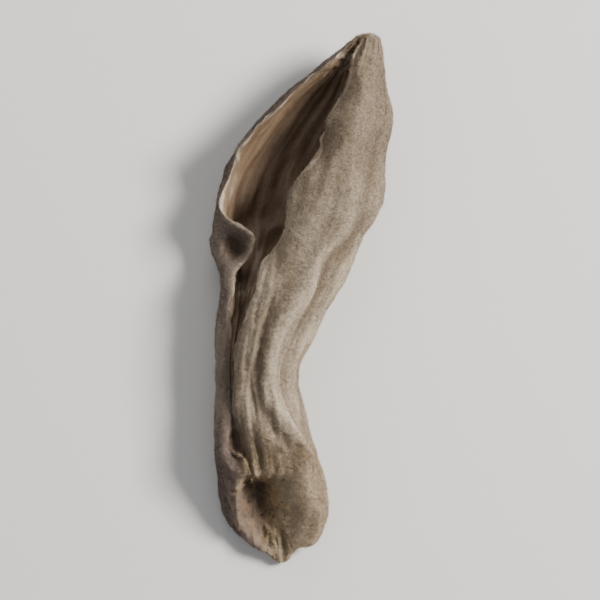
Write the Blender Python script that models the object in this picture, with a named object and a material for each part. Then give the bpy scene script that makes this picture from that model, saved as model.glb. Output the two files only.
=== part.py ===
"""A dried wood ear: one fruit body that folded along its length as it dried.

It lies on the outside of its fold, with its foot towards -Y, its tip towards +Y and +Z up,
and it rests on Z = 0. The body is one closed skin. Rings of points run across it, from the
middle of the torn scar at the foot to the tip, and each ring is the outline of the folded
wall at that place.
"""

from collections import namedtuple
import math

import bmesh
import bpy
from mathutils import Vector, noise
import numpy as np

MM = 0.001

# Points round a ring: on its outer face, and on its inner face between the two margins.
# Lines are first drawn with FINE_POINTS, and then evened out.
OUTER_POINTS = 43
INNER_POINTS = 29
RING_POINTS = OUTER_POINTS + INNER_POINTS
RINGS_PER_SECTION = 4
FINE_POINTS = 160

# How far up each wall the fold is widest, and how deep a furrow is for its width. The wall
# loses a share of its thickness towards its margins, where the power sets how suddenly.
FAR_WIDEST = 0.50
NEAR_WIDEST = 0.46
FURROW_DEPTH = 0.3
MARGIN_THINNING, THINNING_POWER = 0.4, 4

# One cross-section of the ear, in millimetres.
# along: its place on Y.  lean, skew: how far it runs along Y for each millimetre up and across.
# left, keel, right: the fold in plan, where keel is its lowest line.
# crest: the far wall's margin.  crown, rim: the near wall's top line and margin.
# low, crest_z, rim_z, top: the heights of keel, crest, rim and crown.
# wall: thickness.  hollow: 1 where the trough is open to its full depth, 0 at a furrow.
Section = namedtuple(
    "Section",
    "along lean skew left crest keel rim crown right low crest_z rim_z top wall hollow",
)
SECTIONS = (
    Section(-16.8, 1.80, -0.16, -4.4, -3.0, -1.1, -2.4, -0.4, 2.2, 0.90, 4.50, 4.50, 4.75, 0.9, 0.0),
    Section(-15.3, 1.35, -0.14, -5.5, -3.8, -1.5, -2.3, -0.2, 2.9, -0.15, 4.65, 4.85, 5.25, 0.9, 0.0),
    Section(-12.4, 0.75, -0.09, -5.9, -4.9, -2.0, -3.0, -0.7, 2.1, 0.20, 4.30, 4.80, 5.50, 0.9, 0.0),
    Section(-8.9, 0.30, -0.03, -6.0, -4.9, -2.5, -4.1, -1.4, 0.6, 1.00, 4.20, 4.75, 5.40, 0.9, 0.0),
    Section(-5.9, 0.00, 0.00, -6.0, -4.9, -2.7, -4.2, -1.7, 0.0, 1.50, 4.10, 4.70, 5.40, 0.9, 0.0),
    Section(-2.8, 0.00, 0.00, -6.0, -4.9, -2.3, -3.8, -1.2, 1.4, 1.40, 4.30, 5.10, 6.10, 0.9, 0.05),
    Section(0.5, 0.00, 0.00, -5.7, -4.7, -1.4, -2.9, -0.1, 2.8, 0.95, 4.70, 5.80, 6.80, 0.9, 0.4),
    Section(3.3, 0.00, 0.00, -5.6, -4.8, -0.6, -1.6, 1.4, 4.3, 0.30, 4.90, 5.65, 7.45, 0.9, 0.82),
    Section(5.0, 0.00, 0.00, -5.8, -5.2, -0.2, -0.8, 2.1, 5.3, 0.00, 4.75, 5.40, 7.65, 0.9, 0.95),
    Section(6.8, 0.00, 0.00, -6.0, -5.6, 0.2, -0.2, 2.7, 6.1, -0.25, 4.60, 5.20, 7.80, 0.9, 1.0),
    Section(10.2, 0.00, 0.00, -5.2, -4.9, 1.0, 1.1, 3.9, 7.1, -0.25, 5.00, 5.10, 7.60, 0.9, 1.0),
    Section(13.6, 0.00, 0.00, -2.8, -2.4, 2.6, 2.9, 4.9, 7.4, 0.20, 5.50, 5.00, 7.00, 0.8, 0.95),
    Section(16.6, 0.00, 0.00, 0.7, 1.2, 4.0, 4.0, 5.5, 7.2, 1.20, 5.70, 5.10, 6.30, 0.7, 0.7),
    Section(18.9, 0.00, 0.00, 3.4, 3.9, 5.2, 5.0, 5.9, 6.9, 2.50, 5.40, 5.20, 5.60, 0.6, 0.3),
    Section(20.0, 0.00, 0.00, 4.9, 5.3, 5.9, 5.9, 6.2, 6.7, 3.50, 5.00, 5.00, 5.15, 0.4, 0.0),
)
TIP = Vector((6.0, 20.3, 4.35))

# The torn scar: each ring's size as a share of the foot's rim, and its depth in mm. Its
# middle lies off the middle of the foot, TEAR is the size and depth of its roughness, and
# the near side of it stands up as a tongue, over so many mm across.
SCAR_RINGS = ((0.0, 1.7), (0.15, 1.7), (0.32, 1.6), (0.48, 1.25), (0.65, 0.65), (0.84, 0.0))
SCAR_SHIFT = Vector((-2.3, 1.1, 0.55))
TEAR_SIZE = 2.1
TEAR_DEPTH = 0.7
TONGUE_START = -2.4
TONGUE_REACH = 3.2
TONGUE_RISE = 1.1

# A lengthwise pleat: its place across the wall from the far margin (0) to the near one (1)
# at the foot and at the tip, its half width there, its height and its two ends on Y. The
# pleats fade before they reach a margin, where the power sets how suddenly.
Pleat = namedtuple("Pleat", "foot tip width height start end")
PLEATS = (
    Pleat(0.08, 0.06, 0.04, 0.35, -19, 2),
    Pleat(0.15, 0.16, 0.04, -0.40, -19, 9),
    Pleat(0.22, 0.25, 0.045, 0.60, -21, 15),
    Pleat(0.33, 0.36, 0.05, -0.55, -21, 12),
    Pleat(0.42, 0.43, 0.04, 0.60, -20, 16),
    Pleat(0.51, 0.51, 0.045, -0.65, -20, 9),
    Pleat(0.60, 0.59, 0.04, 0.50, -18, 18),
    Pleat(0.68, 0.66, 0.035, 0.60, -10, 19),
    Pleat(0.74, 0.72, 0.035, -0.55, -19, 13),
    Pleat(0.82, 0.80, 0.035, 0.55, -20, 12),
    Pleat(0.89, 0.87, 0.03, -0.35, -20, 8),
)
FADE_POWER = 10

# Uneven shrinking: the width, length and height of the lumps that it left, coarse and fine.
LUMPS = ((4.5, 6.0, 0.45), (2.1, 6.5, 0.30))
LUMPS_SEED = 8

# The margins' waves: field, height, wavelength and phase.
WAVES = (
    ("crest", 0.35, 4.3, 0.0),
    ("crest_z", 0.50, 6.1, 1.0),
    ("rim", 0.35, 5.7, 2.0),
    ("rim_z", 0.35, 4.6, 0.5),
    ("right", 0.25, 6.8, 0.9),
    ("top", 0.25, 7.9, 2.4),
)

# A small lobe of the far margin that curled back on itself near the stalk, where the power
# sets how blunt it is. It is cupped: the cup's middle, its radius and its depth, and the
# heights between which it fades out below.
LOBE_PLACE, LOBE_WIDTH, LOBE_BULGE, LOBE_CURL = 4.3, 1.7, 0.8, 3.2
LOBE_POWER = 2.8
CUP_X, CUP_Y, CUP_RADIUS, CUP_DEPTH = -4.3, 4.2, 1.0, 1.2
CUP_LOW, CUP_HIGH = 2.6, 4.2

# The wall under the trough is at least this thick.
FLOOR_THICKNESS = 0.5


def smooth_mix(before, start, end, after, share):
    """A value between start and end, on the smooth curve through all four."""
    square = share * share
    cube = square * share
    return (
        (2 * cube - 3 * square + 1) * start
        + (cube - 2 * square + share) * (end - before) / 2
        + (3 * square - 2 * cube) * end
        + (cube - square) * (after - start) / 2
    )


def section_at(place):
    """The cross-section at a place that is counted in sections from the foot."""
    number = min(int(place), len(SECTIONS) - 2)
    rows = [
        SECTIONS[min(max(number + step, 0), len(SECTIONS) - 1)] for step in (-1, 0, 1, 2)
    ]
    cut = Section(*(smooth_mix(*values, place - number) for values in zip(*rows)))
    cut = cut._replace(hollow=min(max(cut.hollow, 0.0), 1.0))
    moved = {
        field: getattr(cut, field)
        + height * cut.hollow * math.sin(math.tau * cut.along / wavelength + phase)
        for field, height, wavelength, phase in WAVES
    }
    lobe = math.exp(-(abs((cut.along - LOBE_PLACE) / LOBE_WIDTH) ** LOBE_POWER))
    moved["left"] = cut.left - LOBE_BULGE * lobe
    moved["crest"] += (LOBE_CURL - LOBE_BULGE) * lobe
    return cut._replace(**moved)


def evenly(points, count):
    """The same line, drawn with evenly spaced points."""
    steps = np.linalg.norm(np.diff(points, axis=0), axis=1)
    reached = np.concatenate(([0], np.cumsum(steps)))
    places = np.linspace(0, reached[-1], count)
    return np.column_stack([np.interp(places, reached, points[:, axis]) for axis in (0, 1)])


def outer_line(cut):
    """The outer face of a section, from the far margin round the keel to the near one."""
    share = np.linspace(0, 1, FINE_POINTS)
    rise = np.sin(share * math.pi / 2)
    reach = np.cos(share * math.pi / 2)
    far_side = cut.low + FAR_WIDEST * (cut.crest_z - cut.low)
    near_side = cut.low + NEAR_WIDEST * (cut.top - cut.low)
    arcs = (
        (cut.crest + (cut.left - cut.crest) * rise,
         far_side + (cut.crest_z - far_side) * reach),
        (cut.keel + (cut.left - cut.keel) * reach,
         far_side + (cut.low - far_side) * rise),
        (cut.keel + (cut.right - cut.keel) * rise,
         near_side + (cut.low - near_side) * reach),
        (cut.crown + (cut.right - cut.crown) * reach,
         near_side + (cut.top - near_side) * rise),
        (cut.crown + (cut.rim - cut.crown) * rise,
         cut.rim_z + (cut.top - cut.rim_z) * reach),
    )
    line = np.vstack([np.column_stack(arc)[:-1] for arc in arcs] + [[cut.rim, cut.rim_z]])
    return evenly(line, FINE_POINTS)


def outward_normals(line):
    """Unit normals on the right-hand side of a line, which is the outside of the fold."""
    travel = np.gradient(line, axis=0)
    travel /= np.linalg.norm(travel, axis=1)[:, None]
    return np.column_stack((travel[:, 1], -travel[:, 0]))


def inside_line(cut, outer, normals):
    """From the near margin back to the far one: a trough, a furrow or something between."""
    share = np.linspace(0, 1, FINE_POINTS)
    thinning = MARGIN_THINNING * np.abs(2 * share - 1) ** THINNING_POWER
    thickness = cut.wall * (1 - thinning)
    face = (outer - normals * thickness[:, None])[::-1]
    trough = evenly(np.vstack((outer[-1:], face, outer[:1])), FINE_POINTS)
    gap = outer[0] - outer[-1]
    furrow = outer[-1] + gap * share[:, None]
    furrow[:, 1] -= FURROW_DEPTH * np.linalg.norm(gap) * np.sin(math.pi * share) ** 2
    return evenly(furrow + (trough - furrow) * cut.hollow, INNER_POINTS + 2)[1:-1]


def pleat_height(across, along):
    """How far the wall stands out of its plain fold, in millimetres."""
    height = np.zeros_like(across)
    for pleat in PLEATS:
        if not pleat.start < along < pleat.end:
            continue
        share = (along - SECTIONS[0].along) / (TIP.y - SECTIONS[0].along)
        centre = pleat.foot + (pleat.tip - pleat.foot) * share
        fade = math.sin(math.pi * (along - pleat.start) / (pleat.end - pleat.start))
        height += pleat.height * fade * np.exp(-(((across - centre) / pleat.width) ** 2))
    return height * (1 - np.abs(2 * across - 1) ** FADE_POWER)


def ring(place, pleated=True):
    """One closed ring of points across the ear, in millimetres."""
    cut = section_at(place)
    line = outer_line(cut)
    normals = outward_normals(line)
    flat = np.vstack((evenly(line, OUTER_POINTS), inside_line(cut, line, normals)))
    across = np.append(
        np.linspace(0, 1, OUTER_POINTS), np.linspace(1, 0, INNER_POINTS + 2)[1:-1]
    )
    fine = np.linspace(0, 1, FINE_POINTS)
    outward = np.column_stack([np.interp(across, fine, normals[:, axis]) for axis in (0, 1)])
    if pleated:
        lift = pleat_height(across, cut.along)
        lift[OUTER_POINTS:] *= cut.hollow
        flat += outward * lift[:, None]

    middle = Vector(((cut.left + cut.right) / 2, (cut.low + cut.top) / 2))
    return [
        Vector((x, cut.along + cut.skew * (x - middle.x) + cut.lean * (z - middle.y), z))
        for x, z in flat
    ]


def lumpy(point, lowest):
    """The same point on the uneven surface, and never below a height."""
    moved = point.copy()
    for width, length, height in LUMPS:
        spot = Vector((point.x / width, point.y / length, point.z / width))
        moved += noise.noise_vector(spot) * height
    off = math.hypot(point.x - CUP_X, point.y - CUP_Y) / CUP_RADIUS
    share = min(max((point.z - CUP_LOW) / (CUP_HIGH - CUP_LOW), 0), 1)
    moved.z -= CUP_DEPTH * share * math.exp(-off * off)
    moved.z = max(moved.z, lowest)
    return moved


def scar_rings():
    """The torn hollow in the foot, from its middle out to the rim."""
    rim = ring(0, pleated=False)
    foot = SECTIONS[0]
    centre = Vector((
        (foot.left + foot.right) / 2, foot.along, (foot.low + foot.top) / 2
    )) + SCAR_SHIFT
    facing = Vector((foot.skew, -1, foot.lean)).normalized()
    rings = []
    for size, depth in SCAR_RINGS:
        torn = []
        for point in (centre + (point - centre) * size for point in rim):
            tongue = min(max((point.x - TONGUE_START) / TONGUE_REACH, 0), 1)
            sink = depth * (1 + TEAR_DEPTH * noise.noise(point / TEAR_SIZE))
            torn.append(point - facing * sink * (1 - TONGUE_RISE * tongue))
        rings.append(torn)
    return rings


def skin_points():
    """Every ring of the skin, from the middle of the scar to the tip, in millimetres."""
    count = (len(SECTIONS) - 1) * RINGS_PER_SECTION + 1
    body = [ring(number / RINGS_PER_SECTION) for number in range(count)]
    return scar_rings() + body + [[TIP] * RING_POINTS]


def centre_on_origin(mesh_data):
    """Moves the ear along the ground until the origin is under the middle of its box."""
    shift = Vector()
    for axis in (0, 1):
        places = [vertex.co[axis] for vertex in mesh_data.verts]
        shift[axis] = -(min(places) + max(places)) / 2
    bmesh.ops.translate(mesh_data, verts=mesh_data.verts, vec=shift)


def make_skin(name):
    """The closed skin: a grid rolled into rings, welded along its seam and at both ends."""
    noise.seed_set(LUMPS_SEED)
    rings = skin_points()
    mesh_data = bmesh.new()
    bmesh.ops.create_grid(
        mesh_data, x_segments=RING_POINTS, y_segments=len(rings) - 1, size=1
    )
    for vertex in mesh_data.verts:
        column = round((vertex.co.x + 1) / 2 * RING_POINTS) % RING_POINTS
        row = round((vertex.co.y + 1) / 2 * (len(rings) - 1))
        lowest = 0.0 if column < OUTER_POINTS else FLOOR_THICKNESS
        vertex.co = lumpy(rings[row][column], lowest) * MM
    bmesh.ops.remove_doubles(mesh_data, verts=mesh_data.verts, dist=0.001 * MM)
    bmesh.ops.recalc_face_normals(mesh_data, faces=mesh_data.faces)
    centre_on_origin(mesh_data)
    mesh = bpy.data.meshes.new(name)
    mesh_data.to_mesh(mesh)
    mesh_data.free()
    mesh.shade_smooth()
    return mesh


def dried_flesh():
    material = bpy.data.materials.new("dried_flesh")
    material.use_nodes = True
    shader = material.node_tree.nodes["Principled BSDF"]
    shader.inputs["Base Color"].default_value = (0.30, 0.25, 0.18, 1)
    shader.inputs["Roughness"].default_value = 0.8
    return material


for old in list(bpy.data.objects):
    bpy.data.objects.remove(old)

wood_ear = bpy.data.objects.new("wood_ear", make_skin("wood_ear"))
wood_ear.data.materials.append(dried_flesh())
bpy.context.collection.objects.link(wood_ear)
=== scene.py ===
# A dried wood ear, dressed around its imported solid. Lengths are in metres.
import math

import bpy
import numpy as np
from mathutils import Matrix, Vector, noise
from mathutils.bvhtree import BVHTree


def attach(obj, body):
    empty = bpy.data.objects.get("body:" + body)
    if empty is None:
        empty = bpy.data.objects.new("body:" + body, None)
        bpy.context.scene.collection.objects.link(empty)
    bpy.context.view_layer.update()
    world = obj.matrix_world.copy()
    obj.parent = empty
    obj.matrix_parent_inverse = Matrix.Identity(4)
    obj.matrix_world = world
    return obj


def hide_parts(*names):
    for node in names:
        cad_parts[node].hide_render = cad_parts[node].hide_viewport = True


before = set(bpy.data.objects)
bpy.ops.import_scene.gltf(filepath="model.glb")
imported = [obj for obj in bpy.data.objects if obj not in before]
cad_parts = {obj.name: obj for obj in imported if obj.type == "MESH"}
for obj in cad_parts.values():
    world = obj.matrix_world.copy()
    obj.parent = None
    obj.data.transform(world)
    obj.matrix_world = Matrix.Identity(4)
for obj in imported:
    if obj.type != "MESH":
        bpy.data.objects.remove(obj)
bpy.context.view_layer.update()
MM = 0.001

# The fruit body
# One sheet of jelly-like flesh that dried hard and folded lengthwise, felty outside and
# smooth and dark inside. It is thin at its margins and solid in the stalk and the foot,
# which tore off the wood that it grew on.
SAME_PLACE = 0.002 * MM
SUBDIVISIONS = 2


def pick(piece):
    """Selects one piece alone, for the operators that follow."""
    bpy.ops.object.select_all(action="DESELECT")
    piece.select_set(True)
    bpy.context.view_layer.objects.active = piece


def apply_modifier(piece, kind, **settings):
    """Adds a modifier to a piece and applies it."""
    modifier = piece.modifiers.new(kind.lower(), kind)
    for name, value in settings.items():
        setattr(modifier, name, value)
    pick(piece)
    bpy.ops.object.modifier_apply(modifier=modifier.name)


ear = bpy.data.objects.new("dried_ear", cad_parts["wood_ear"].data.copy())
bpy.context.collection.objects.link(ear)
pick(ear)
bpy.ops.mesh.customdata_custom_splitnormals_clear()
bpy.ops.object.mode_set(mode="EDIT")
bpy.ops.mesh.select_all(action="SELECT")
bpy.ops.mesh.remove_doubles(threshold=SAME_PLACE)
bpy.ops.mesh.tris_convert_to_quads()
bpy.ops.object.mode_set(mode="OBJECT")


def store(piece, name, values):
    """Keeps a number or a vector for each point of a piece, for its material."""
    kind, field = ("FLOAT", "value") if values.ndim == 1 else ("FLOAT_VECTOR", "vector")
    piece.data.attributes.new(name, kind, "POINT").data.foreach_set(field, values.ravel())


def read(collection, field, width):
    """One field of a mesh's points or edges, as rows of numbers."""
    values = np.empty(len(collection) * width, dtype=np.int32 if field == "vertices" else float)
    collection.foreach_get(field, values)
    return values.reshape(-1, width)


def ends_of(edges):
    """Both ends of every edge, and for each of them the end across from it."""
    return edges.T.ravel(), edges[:, ::-1].T.ravel()


def ease(values, start, end):
    """0 up to start, 1 from end on, and smooth between them."""
    share = np.clip((values - start) / (end - start), 0, 1)
    return share * share * (3 - 2 * share)


# How hidden each point is: the share of what it faces that is the ear itself. Rays look for
# the ear from just off the skin, and none of them runs too flat along it. This is worked out
# on the coarse skin, and the subdivision carries it over to the fine one.
# The material darkens the colour where this share is high: painted shade.
RAYS = 64
RAY_REACH = 12 * MM
RAY_STEEPNESS = 0.25
OFF_SKIN = 0.02 * MM
GOLDEN_TURN = math.pi * (3 - math.sqrt(5))


def all_round():
    """Directions that are spread evenly over a sphere."""
    for number in range(RAYS):
        up = 1 - (2 * number + 1) / RAYS
        flat = math.sqrt(1 - up * up)
        turn = GOLDEN_TURN * number
        yield Vector((flat * math.cos(turn), flat * math.sin(turn), up))


def hidden_share(vertex, skin, directions):
    """The share of a vertex's outlook that ends on the ear."""
    ahead = [ray for ray in directions if ray.dot(vertex.normal) > RAY_STEEPNESS]
    start = vertex.co + vertex.normal * OFF_SKIN
    return sum(skin.ray_cast(start, ray, RAY_REACH)[0] is not None for ray in ahead) / len(ahead)


# The wall's thickness under each point, as far as it matters.
THICKEST = 3 * MM
UNDER_SKIN = 0.01 * MM


def wall_under(vertex, skin):
    """How far it is from a vertex to the other face of the wall, in mm."""
    inward = -vertex.normal
    distance = skin.ray_cast(vertex.co + inward * UNDER_SKIN, inward, THICKEST)[3]
    return (distance or THICKEST) / MM


# Which side of the fold each point is on: 1 inside, 0 outside. The sure places are set first.
# The inside ones face the trough's middle and are shut in. The rest take their value from
# their neighbours, but hardly any of it from across a sharp bend, so the two sides meet at the
# margins. The trough's middle is given along, across and in height, in mm, and runs on into
# the stalk's furrow. There is no inside before the throat or past the closed tip.
TROUGH = np.array((
    (-12.3, -4.7, 4.6),
    (-8.8, -5.2, 4.6),
    (-3.0, -5.1, 4.8),
    (0.3, -4.5, 4.5),
    (3.4, -3.8, 4.0),
    (6.6, -3.7, 3.6),
    (10.0, -2.7, 3.6),
    (13.4, -0.5, 4.0),
    (16.4, 1.8, 4.7),
    (18.7, 3.7, 5.0),
))
THROAT, CLOSED = -7.5, 18.9
SURE_FACING, SURE_HIDDEN = 0.40, 0.40
SURE_AWAY, SURE_OPEN = -0.30, 0.10
SPREADINGS, SHARPNESS = 900, 18.0
OUTSIDE_UP_TO, INSIDE_FROM = 0.25, 0.75


def trough_middle(points):
    """The trough's middle, across and in height, at each point's place along the ear."""
    return np.column_stack([
        np.interp(points[:, 1], TROUGH[:, 0] * MM, TROUGH[:, way] * MM) for way in (1, 2)
    ])


def facing_trough(points, normals):
    """How much each point faces the trough's middle, from -1 to 1."""
    towards = trough_middle(points) - points[:, (0, 2)]
    return (towards * normals[:, (0, 2)]).sum(axis=1) / np.linalg.norm(towards, axis=1)


def inside_of_fold(points, normals, edges, hidden):
    """Spreads the sure places' values over the skin."""
    facing = facing_trough(points, normals)
    inner = (facing > SURE_FACING) & (hidden > SURE_HIDDEN)
    outer = (facing < SURE_AWAY) | (hidden < SURE_OPEN)
    outer |= (points[:, 1] < THROAT * MM) | (points[:, 1] > CLOSED * MM)
    inner &= ~outer
    bend = 1 - (normals[edges[:, 0]] * normals[edges[:, 1]]).sum(axis=1)
    weights = np.tile(np.exp(-SHARPNESS * bend), 2)
    ends, others = ends_of(edges)
    total = np.bincount(ends, weights, len(points))
    inside = np.where(inner, 1.0, 0.0)
    for _ in range(SPREADINGS):
        inside = np.bincount(ends, weights * inside[others], len(points)) / total
        inside[inner] = 1
        inside[outer] = 0
    return ease(inside, OUTSIDE_UP_TO, INSIDE_FROM)


coarse_skin = BVHTree.FromObject(ear, bpy.context.evaluated_depsgraph_get())
directions = list(all_round())
hidden = np.array([hidden_share(vertex, coarse_skin, directions) for vertex in ear.data.vertices])
inside = inside_of_fold(
    read(ear.data.vertices, "co", 3),
    read(ear.data.vertices, "normal", 3),
    read(ear.data.edges, "vertices", 2),
    hidden,
)
store(ear, "hidden", hidden)
store(ear, "wall", np.array([wall_under(vertex, coarse_skin) for vertex in ear.data.vertices]))
store(ear, "inside", inside)
apply_modifier(ear, "SUBSURF", levels=SUBDIVISIONS, render_levels=SUBDIVISIONS)
bpy.ops.object.shade_smooth()

points = read(ear.data.vertices, "co", 3)
normals = read(ear.data.vertices, "normal", 3)
edges = read(ear.data.edges, "vertices", 2)


def soften(values, times):
    """Averages each point's values with its neighbours', over and over."""
    ends, others = ends_of(edges)
    neighbours = np.bincount(ends, minlength=len(values))
    columns = values.reshape(len(values), -1).T
    for _ in range(times):
        columns = [
            (column + np.bincount(ends, column[others], len(column)) / neighbours) / 2
            for column in columns
        ]
    return np.column_stack(columns).reshape(values.shape)


def carried(name):
    """Takes off the mesh what the subdivision carried over to the fine skin."""
    kept = ear.data.attributes[name]
    values = read(kept.data, "value", 1)[:, 0]
    ear.data.attributes.remove(kept)
    return values


def pattern(places):
    """Noise between about -1 and 1 at each place."""
    return np.array([noise.noise(place, noise_basis="BLENDER") for place in places.tolist()])


# Two hollows in the top: the cup of the curled lobe, and the hole where the furrow meets the
# foot. Each has its middle, its reach across and along, and the height that it lies above, in
# mm. Its rim stands at so many times its reach.
HOLLOWS = (((-5.2, 4.1), (0.85, 0.85), 2.6), ((-5.0, -11.2), (0.55, 1.30), 3.2))
HOLLOW_FADE = 0.6
HOLLOW_UNEVEN, HOLLOW_LUMP = 0.30, 0.8
RIM_PLACE, RIM_WIDTH = 1.6, 0.6
hollow, rim = np.zeros(len(points)), np.zeros(len(points))
for middle, reach, lowest in HOLLOWS:
    away = np.linalg.norm((points[:, :2] / MM - middle) / reach, axis=1)
    away = np.maximum(away + HOLLOW_UNEVEN * pattern(points / MM / HOLLOW_LUMP), 0)
    above = ease(points[:, 2] / MM, lowest, lowest + HOLLOW_FADE)
    hollow += above * np.exp(-away ** 2)
    rim += above * np.exp(-((away - RIM_PLACE) / RIM_WIDTH) ** 2)

# How felty the skin is: 1 outside the fold and in the hollows, 0 inside the fold. The margin
# is where the two sides meet.
FELT_SOFTENINGS, HIDDEN_SOFTENINGS = 3, 4
HOLLOW_BARE, HOLLOW_FELTY = 0.05, 0.30
MARGIN_START, MARGIN_FULL = 0.3, 0.9
felt = soften(1 - carried("inside"), FELT_SOFTENINGS)
felt = np.maximum(felt, ease(hollow, HOLLOW_BARE, HOLLOW_FELTY))
margin = ease(4 * felt * (1 - felt), MARGIN_START, MARGIN_FULL)
# Painted shade: the two hollows join the shut-in places, so their middles are darkened with them.
hidden = np.maximum(soften(carried("hidden"), HIDDEN_SOFTENINGS), hollow)
wall = carried("wall")

# The far wall's outside: left of the trough's middle, and as far as the keel underneath, in mm.
# It is painted darker and purplish: shade on the side turned from the key light, partly a purplish
# tone.
KEEL_OFFSET = 1.8
UNDER_HEIGHT, TOP_HEIGHT = 1.2, 3.5
FAR_BORDER = 0.3
from_trough = (points[:, 0] - trough_middle(points)[:, 0]) / MM
from_trough -= KEEL_OFFSET * ease(points[:, 2] / MM, TOP_HEIGHT, UNDER_HEIGHT)
far = ease(from_trough, FAR_BORDER, -FAR_BORDER)


def valleys(softenings):
    """How far each point lies under its surroundings, in mm. It is below 0 on a ridge."""
    return ((soften(points, softenings) - points) * normals).sum(axis=1) / MM


FINE_VALLEYS, BROAD_VALLEYS = 14, 90
valley, broad_valley = valleys(FINE_VALLEYS), valleys(BROAD_VALLEYS)

# The way in which each point grew: its direction from the middle, across and in height, and
# its place along the ear in mm. Outside the fold it starts from the fold's own middle, which
# is found slice by slice, and inside it from the trough's. Directions turn too fast near a
# middle, so they fade out there.
SLICES, SLICES_SMOOTHED = 60, 5
CORE = 1.2 * MM


def fold_middle():
    """The middle of the fold, across and in height, at each point's place along the ear."""
    bounds = np.linspace(points[:, 1].min(), points[:, 1].max(), SLICES + 1)
    slices = np.clip(np.digitize(points[:, 1], bounds) - 1, 0, SLICES - 1)
    even = np.ones(SLICES_SMOOTHED) / SLICES_SMOOTHED
    middles = []
    for axis in (0, 2):
        middle = [
            (points[slices == number, axis].min() + points[slices == number, axis].max()) / 2
            for number in range(SLICES)
        ]
        smooth = np.convolve(np.pad(middle, SLICES_SMOOTHED // 2, mode="edge"), even, mode="valid")
        middles.append(np.interp(points[:, 1], (bounds[1:] + bounds[:-1]) / 2, smooth))
    return np.column_stack(middles)


def direction_from(middle):
    """Unit vectors from the middle line to each point, shorter within the core."""
    away = points[:, (0, 2)] - middle
    return away / np.linalg.norm(away, axis=1).clip(min=CORE)[:, None]


outside, within = direction_from(fold_middle()), direction_from(trough_middle(points))
growth = np.column_stack((within + (outside - within) * felt[:, None], points[:, 1] / MM))

# The scar is 1 where the foot tore off, as far as a ragged border. Its middle and reach, and
# the size of the rags, are in mm, and the rest are shares of its reach.
SCAR_MIDDLE, SCAR_REACH = (-3.1, -16.0, 2.4), (2.3, 3.2, 2.6)
SCAR_EDGE, SCAR_RAGGED, RAG_SIZE = 0.18, 0.30, 0.9
from_scar = np.linalg.norm((points / MM - SCAR_MIDDLE) / SCAR_REACH, axis=1)
from_scar += SCAR_RAGGED * pattern(points / MM / RAG_SIZE)
scar = 1 - ease(from_scar, 1 - SCAR_EDGE, 1 + SCAR_EDGE)

# The relief, in mm. Wrinkles run along the growth, so their number round the ear stays the
# same and they crowd together in the stalk. Each layer has its crests round the ear, its
# length and its height. Tears have their size and height. Nothing moves by more than a share
# of the wall's thickness.
WRINKLES = ((5.0, 9.0, 0.16), (11.0, 4.0, 0.07), (6.0, 1.5, 0.05))
INSIDE_TALLER = 0.4
CRUMPLE_SIZE, CRUMPLE_HEIGHT = 0.50, 0.035
TEARS = ((1.2, 0.22), (0.45, 0.12))
NICK_SIZE, NICK_DEPTH, NICK_MEAN = 0.8, 0.20, 0.5
HOLLOW_DEPTH, RIM_HEIGHT = 0.35, 0.12
WALL_SHARE = 0.35
NORMAL_SOFTENINGS = 4


def ridges(places):
    """Sharp crests with wide valleys between them, from about -1 to 0.5."""
    return 0.5 - np.abs(pattern(places)) * 2


def unit(vectors):
    """The same directions, each one long."""
    return vectors / np.linalg.norm(vectors, axis=1)[:, None]


side = 1 + INSIDE_TALLER * (1 - felt)
height = np.zeros(len(points))
for crests, length, tall in WRINKLES:
    height += tall * side * (1 - scar) * ridges(growth * (crests / 2, crests / 2, 1 / length))
height += CRUMPLE_HEIGHT * pattern(points / MM / CRUMPLE_SIZE)
for size, tall in TEARS:
    height += tall * scar * ridges(points / MM / size)
height -= NICK_DEPTH * margin * (NICK_MEAN + pattern(points / MM / NICK_SIZE))
height += RIM_HEIGHT * rim - HOLLOW_DEPTH * hollow
limit = WALL_SHARE * wall
height = limit * np.tanh(height / limit)
points += unit(soften(normals, NORMAL_SOFTENINGS)) * height[:, None] * MM
points[:, 2] = points[:, 2].clip(min=0)
ear.data.vertices.foreach_set("co", points.ravel())

looks = {
    "felt": felt, "margin": margin, "valley": valley, "broad_valley": broad_valley,
    "scar": scar, "hidden": hidden, "far": far, "growth": growth,
}
for name, values in looks.items():
    store(ear, name, values)
ear.data.update()


class Shade:
    """An output socket of a material. Python's operators on it add Math nodes."""

    def __init__(self, tree, socket=None):
        self.tree = tree
        self.socket = socket

    def node(self, kind, inputs, output=0, **settings):
        """A new node's output: its settings go in first, then its sockets' values or links."""
        made = self.tree.nodes.new("ShaderNode" + kind)
        for name, value in settings.items():
            setattr(made, name, value)
        for name, value in inputs.items():
            if isinstance(value, Shade):
                self.tree.links.new(value.socket, made.inputs[name])
            else:
                made.inputs[name].default_value = value
        return Shade(self.tree, made.outputs[output])

    def __add__(self, other):
        return self.node("Math", {0: self, 1: other}, operation="ADD")

    def __mul__(self, other):
        return self.node("Math", {0: self, 1: other}, operation="MULTIPLY")

    __radd__ = __add__
    __rmul__ = __mul__

    def between(self, start, end):
        """0 up to start, 1 from end on, and smooth between them."""
        return self.node(
            "MapRange", {"Value": self, "From Min": start, "From Max": end},
            interpolation_type="SMOOTHSTEP",
        )

    def mix(self, start, end):
        """A colour between two others, where this value is the share of the second."""
        return self.node(
            "Mix", {0: self, 6: start, 7: end}, output=2, data_type="RGBA", clamp_factor=True
        )

    def under(self, *layers):
        """This colour with others laid over it in turn, each with its cover from 0 to 1."""
        colour = self
        for cover, paint in layers:
            colour = cover.mix(colour, paint)
        return colour


material = bpy.data.materials.new("dried_flesh_skin")
material.use_nodes = True
tree = material.node_tree
tree.nodes.clear()
shade = Shade(tree)


def attribute(name):
    """A number that was stored for each point."""
    return shade.node("Attribute", {}, output=2, attribute_name=name)


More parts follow.
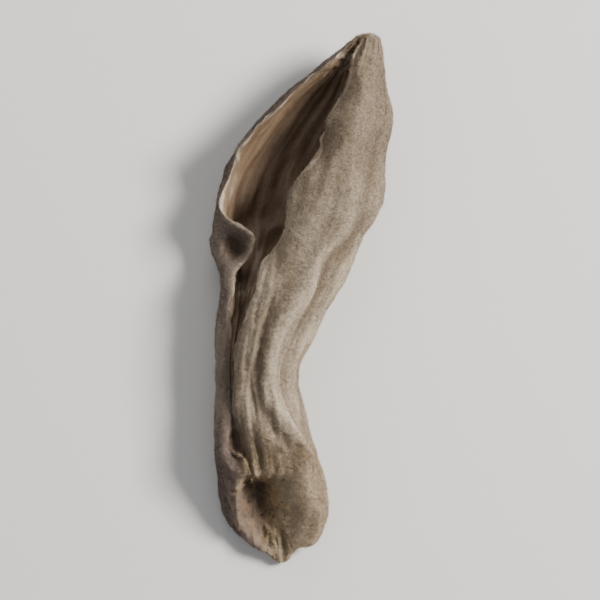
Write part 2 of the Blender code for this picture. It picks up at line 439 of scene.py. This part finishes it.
def speckle(vector, scale, stretch=(1, 1, 1), detail=3.0, roughness=0.55):
    """Noise from 0 to 1, at so many features for each unit of its coordinates."""
    stretched = shade.node("Mapping", {"Vector": vector, "Scale": stretch})
    return shade.node(
        "TexNoise",
        {"Vector": stretched, "Scale": scale, "Detail": detail, "Roughness": roughness},
    )


# Patterns in mm, or along the growth for the streaks. Heights and depths are in mm too.
place = shade.node("TexCoord", {}, output=3)
place = shade.node("Mapping", {"Vector": place, "Scale": (1 / MM,) * 3})
along = shade.node("Attribute", {}, output=1, attribute_name="growth")
streaks = speckle(along, 5.0, (1, 1, 0.03), detail=5.0)
fine_streaks = speckle(along, 17.0, (1, 1, 0.02), detail=4.0)
blotches = speckle(place, 0.30, detail=4.0).between(0.44, 0.66)
grain = speckle(place, 4.0, detail=5.0)
torn_flesh = speckle(place, 0.9, detail=6.0, roughness=0.65).between(0.44, 0.62)
dark_pits = speckle(place, 2.0).between(0.56, 0.68)
# Painted shade, partly felt that is less rubbed there: the colour darkens in the creases, fine and
# broad.
crease_shade = attribute("valley").between(-0.01, 0.10)
# Painted highlight, partly worn felt: the colour pales on the ridges of the felt and the inner
# skin. On the scar the ridges only take the felt's colour.
raised = attribute("valley").between(0.00, -0.09)
broad_crease_shade = attribute("broad_valley").between(0.02, 0.22)
broad_ridge_highlight = attribute("broad_valley").between(-0.03, -0.20)
# Painted shade: the colour darkens where the ear shuts its own skin in.
occlusion_shade = attribute("hidden").between(0.25, 0.75)
# Painted shade, partly a purplish tone, on the far wall's outside.
far_side_shade = attribute("far")
top_side = shade.node("SeparateXYZ", {"Vector": along}).between(0.75, 0.0)
lengthwise = shade.node("SeparateXYZ", {"Vector": along}, output=2)
# Towards the tip the felt darkens: partly painted shadow of a neighbouring ear, partly browner
# felt.
tip_shade_and_tone, foot_end = lengthwise.between(1.0, 11.0), lengthwise.between(-8.0, -13.5)

FELT_PALE = (0.470, 0.395, 0.298, 1)
FELT_MID = (0.225, 0.172, 0.116, 1)
FELT_DARK = (0.090, 0.056, 0.032, 1)
FAR_SHADE_PURPLE = (0.120, 0.086, 0.078, 1)
SKIN_BROWN = (0.255, 0.178, 0.112, 1)
SKIN_DARK = (0.165, 0.106, 0.065, 1)
MARGIN_AND_HIGHLIGHT_PALE = (0.570, 0.485, 0.365, 1)
FOOT_BROWN = (0.215, 0.142, 0.066, 1)
SCAR_OCHRE = (0.400, 0.265, 0.135, 1)
SCAR_OLIVE = (0.260, 0.190, 0.105, 1)
SCAR_DARK = (0.045, 0.027, 0.015, 1)

felt_colour = streaks.between(0.30, 0.70).mix(FELT_MID, FELT_PALE).under(
    (top_side * 0.55, FELT_MID),
    (blotches * 0.55, FELT_MID),
    # painted shade in broad creases
    (broad_crease_shade * 0.25, FELT_DARK),
    # painted highlight on broad ridges, partly worn felt
    (broad_ridge_highlight * 0.40, MARGIN_AND_HIGHLIGHT_PALE),
    # painted highlight on fine ridges, partly worn felt
    (raised * 0.45, MARGIN_AND_HIGHLIGHT_PALE),
    # painted shadow towards the tip, partly browner felt
    (tip_shade_and_tone * 0.50, FELT_MID),
    (tip_shade_and_tone * 0.38, FELT_DARK),
    (foot_end * 0.50, FOOT_BROWN),
    # painted shade on the far side, partly a purplish tone
    (far_side_shade * (foot_end * 0.25 + 0.60), FAR_SHADE_PURPLE),
    # painted shade in fine creases
    (crease_shade * 0.42, FELT_DARK),
    # painted shade where the ear shuts the felt in
    (occlusion_shade * 0.60, FELT_DARK),
)
skin_colour = streaks.between(0.38, 0.64).mix(SKIN_DARK, SKIN_BROWN).under(
    # painted highlight on the inner skin's ridges
    (raised * 0.25, FELT_PALE),
    # painted shade in the inner skin's creases
    (crease_shade * 0.50, SKIN_DARK),
)
scar_colour = torn_flesh.mix(SCAR_OLIVE, SCAR_OCHRE).under(
    (raised * 0.60, FELT_MID),
    (dark_pits * 0.80, SCAR_DARK),
    # painted shade on the scar's far side
    (far_side_shade * 0.60, FAR_SHADE_PURPLE),
    # painted shade in the scar's creases
    (crease_shade * 0.60, SCAR_DARK),
    # painted shade where the ear shuts the scar in
    (occlusion_shade * 0.30, SCAR_DARK),
)
flesh_colour = attribute("felt").between(0.30, 0.70).mix(skin_colour, felt_colour).under(
    (attribute("margin") * 0.55, MARGIN_AND_HIGHLIGHT_PALE),
    (attribute("scar") * 0.90, scar_colour),
    (grain.between(0.45, 0.66) * 0.22, FELT_DARK),
)

# The bare skin inside the fold is smoother than the felt. Fine lines and grain roughen both.
SKIN_ROUGHNESS, FELT_ROUGHER = 0.48, 0.40
LINES_TO_GRAIN, LINE_DEPTH, LINE_STRENGTH = 0.4, 0.06 * MM, 0.45
surface = shade.node("BsdfPrincipled", {
    "Base Color": flesh_colour,
    "Roughness": attribute("felt") * FELT_ROUGHER + SKIN_ROUGHNESS,
    "Normal": shade.node("Bump", {
        "Height": fine_streaks * LINES_TO_GRAIN + grain,
        "Strength": LINE_STRENGTH,
        "Distance": LINE_DEPTH,
    }),
})
output = tree.nodes.new("ShaderNodeOutputMaterial")
tree.links.new(surface.socket, output.inputs["Surface"])
ear.data.materials.clear()
ear.data.materials.append(material)

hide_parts("wood_ear")
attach(ear, "root")

# The felt
# Short stiff hairs stand all over the outside of the fold and leave its inside bare. They
# grew out of the skin and dried flat, leaning forward to the margin, each a thin blade.
HAIRS = 190000
HAIR_LENGTH, SHORTEST = 0.30 * MM, 0.45
HAIR_WIDTH = 0.028 * MM
ROOT_DEPTH = 0.02 * MM
FORWARD = np.array((0.25, 1.0, 0.0))
LEAN, STRAY, STAND = 0.7, 0.8, 0.55
TIP_PALER = 0.05
HAIR_SEED = 5
rng = np.random.default_rng(HAIR_SEED)

# Roots are scattered over the faces, by their area and by how felty they are.
ear.data.calc_loop_triangles()
corners = read(ear.data.loop_triangles, "vertices", 3)
normals = read(ear.data.vertices, "normal", 3)
first, second, third = points[corners[:, 0]], points[corners[:, 1]], points[corners[:, 2]]
areas = np.linalg.norm(np.cross(second - first, third - first), axis=1) / 2
hairy = areas * (felt * (1 - scar))[corners].mean(axis=1) ** 2
chosen = np.searchsorted(np.cumsum(hairy) / hairy.sum(), rng.random(HAIRS))
chosen = corners[chosen.clip(max=len(corners) - 1)]
shares = rng.dirichlet((1, 1, 1), HAIRS)


def at_roots(values):
    """The skin's values at the hairs' roots."""
    return np.einsum("ij,ij...->i...", shares, values[chosen])


roots = at_roots(points)
up = unit(at_roots(normals))
forward = FORWARD * LEAN + rng.normal(size=(HAIRS, 3)) * STRAY
forward -= up * (forward * up).sum(axis=1)[:, None]
pointing = unit(unit(forward) + up * STAND)
aside = unit(np.cross(pointing, rng.normal(size=(HAIRS, 3)))) * HAIR_WIDTH / 2
tips = roots + pointing * (HAIR_LENGTH * rng.uniform(SHORTEST, 1, HAIRS))[:, None]
roots -= up * ROOT_DEPTH
blades = np.stack((roots - aside, roots + aside, tips), axis=1).reshape(-1, 3)
blades[:, 2] = blades[:, 2].clip(min=0)
mesh = bpy.data.meshes.new("felt_hairs")
mesh.from_pydata(blades.tolist(), [], np.arange(3 * HAIRS).reshape(-1, 3).tolist())
hairs = bpy.data.objects.new("felt_hairs", mesh)
bpy.context.collection.objects.link(hairs)

# Each blade looks as the skin does at its root, with a paler tip.
for name, values in looks.items():
    of_blades = np.repeat(at_roots(values), 3, axis=0)
    if name == "valley":
        of_blades[2::3] -= TIP_PALER
    store(hairs, name, of_blades)
mesh.materials.append(material)

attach(hairs, "root")

# The setting
# A plain pale floor that the ear lies on, under soft studio light, seen from straight above.
FLOOR_SIZE = 2.0
PAPER, PAPER_ROUGHNESS = (0.78, 0.77, 0.75, 1), 0.9
bpy.ops.mesh.primitive_plane_add(size=FLOOR_SIZE)
floor = bpy.context.object
floor.name = "floor"
paper = bpy.data.materials.new("pale_floor")
paper.use_nodes = True
paper_surface = paper.node_tree.nodes["Principled BSDF"]
paper_surface.inputs["Base Color"].default_value = PAPER
paper_surface.inputs["Roughness"].default_value = PAPER_ROUGHNESS
floor.data.materials.append(paper)

# Each light: its name, place, size, watts and colour. All of them point at the ear.
LIGHTS = (
    ("key", (0.26, 0.10, 0.23), 0.12, 2.8, (1.0, 0.96, 0.91)),
    ("fill", (-0.26, -0.05, 0.24), 0.30, 0.20, (0.97, 0.98, 1.0)),
    ("back", (0.00, 0.34, 0.20), 0.20, 0.4, (1.0, 0.99, 0.97)),
)
for name, spot, size, watts, colour in LIGHTS:
    bpy.ops.object.light_add(type="AREA", location=spot)
    lamp = bpy.context.object
    lamp.name = name
    lamp.data.size = size
    lamp.data.energy = watts
    lamp.data.color = colour
    lamp.rotation_euler = (-Vector(spot)).to_track_quat("-Z", "Y").to_euler()

SKY, SKY_STRENGTH = (0.95, 0.96, 1.0, 1), 0.24
world = bpy.data.worlds.new("studio")
bpy.context.scene.world = world
world.use_nodes = True
background = world.node_tree.nodes["Background"]
background.inputs["Color"].default_value = SKY
background.inputs["Strength"].default_value = SKY_STRENGTH

CAMERA_HEIGHT = 0.30
FIELD = 0.047
NEAREST_SEEN = 0.01
bpy.ops.object.camera_add(location=(0, 0, CAMERA_HEIGHT), rotation=(0, 0, 0))
camera = bpy.context.object
camera.data.lens = camera.data.sensor_width * CAMERA_HEIGHT / FIELD
camera.data.clip_start = NEAREST_SEEN
bpy.context.scene.camera = camera
